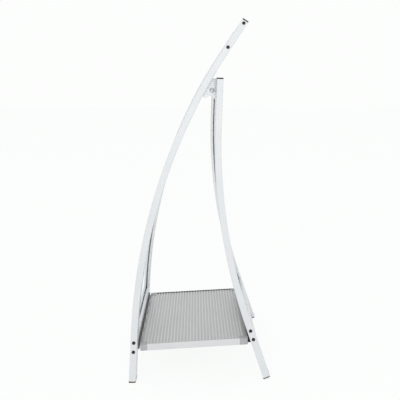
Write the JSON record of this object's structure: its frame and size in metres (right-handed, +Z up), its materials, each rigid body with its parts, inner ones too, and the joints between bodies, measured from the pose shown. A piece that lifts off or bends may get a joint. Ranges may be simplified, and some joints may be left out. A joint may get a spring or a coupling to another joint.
{
  "type": "folding step stool",
  "caption": "Folding aluminium step stool with a ribbed platform between a tall bent handle frame and a shorter rear frame that share a pivot under the grip.",
  "frame": {"origin": "on the floor, under the middle of the stool along X and Y", "axes": "+Z up from the floor, +X from the front frame to the rear frame, +Y to the far side"},
  "size_m": [0.5266, 0.4344, 1.3554],
  "materials": {
    "tube": "satin natural anodised",
    "lip": "satin natural anodised",
    "deck": "grey anodised, ribbed",
    "grey_moulding": "fine moulded grain",
    "white_plate": "white powder coat",
    "black_cap": "fine moulded grain",
    "foot": "matt",
    "black_screw": "blackened",
    "black_profile": "black anodised look",
    "bright_steel": "zinc plated"
  },
  "bodies": {
    "front_frame": {"front_cap_far": "black_cap", "front_cap_near": "black_cap", "front_crossbar": "tube", "front_foot_far": "foot", "front_foot_near": "foot", "front_leg_far": "tube", "front_leg_near": "tube", "front_plate_far": "white_plate", "front_plate_near": "white_plate", "front_screw_lower_far": "black_screw", "front_screw_lower_near": "black_screw", "front_screw_upper_far": "black_screw", "front_screw_upper_near": "black_screw", "hinge_pin": "bright_steel", "hinge_rail": "black_profile", "pivot_bolt_far": "bright_steel", "pivot_bolt_near": "bright_steel", "pivot_nut_far": "bright_steel", "pivot_nut_near": "bright_steel", "pivot_washer_far": "bright_steel", "pivot_washer_near": "bright_steel", "top_rail_lower": "tube", "top_rail_upper": "tube", "top_screw_lower_far": "black_screw", "top_screw_lower_near": "black_screw", "top_screw_upper_far": "black_screw", "top_screw_upper_near": "black_screw"},
    "rear_frame": {"rear_cap_far": "black_cap", "rear_cap_near": "black_cap", "rear_crossbar": "tube", "rear_foot_far": "foot", "rear_foot_near": "foot", "rear_ledge": "black_profile", "rear_leg_far": "tube", "rear_leg_near": "tube", "rear_plate_far": "white_plate", "rear_plate_near": "white_plate", "rear_screw_lower_far": "black_screw", "rear_screw_lower_near": "black_screw", "rear_screw_upper_far": "black_screw", "rear_screw_upper_near": "black_screw", "rear_spacer_far": "white_plate", "rear_spacer_near": "white_plate"},
    "platform": {"deck": "deck", "front_corner_far": "grey_moulding", "front_corner_near": "grey_moulding", "hinge_leaf": "deck", "lip_far": "lip", "lip_near": "lip", "rear_corner_far": "grey_moulding", "rear_corner_near": "grey_moulding", "rear_strip": "deck"}
  },
  "joints": [
    {"name": "rear_frame_swing", "type": "hinge", "parent": "front_frame", "child": "rear_frame", "pos_m": [0.04764, 0, 1.0841], "axis": [0, -1, 0], "range_deg": [0, 12]},
    {"name": "platform_lift", "type": "hinge", "parent": "front_frame", "child": "platform", "pos_m": [-0.22442, 0, 0.12258], "axis": [0, -1, 0], "range_deg": [0, 80]}
  ],
  "couplings": [
    {"joint": "platform_lift", "follows": "rear_frame_swing", "ratio": 6.6666}
  ]
}
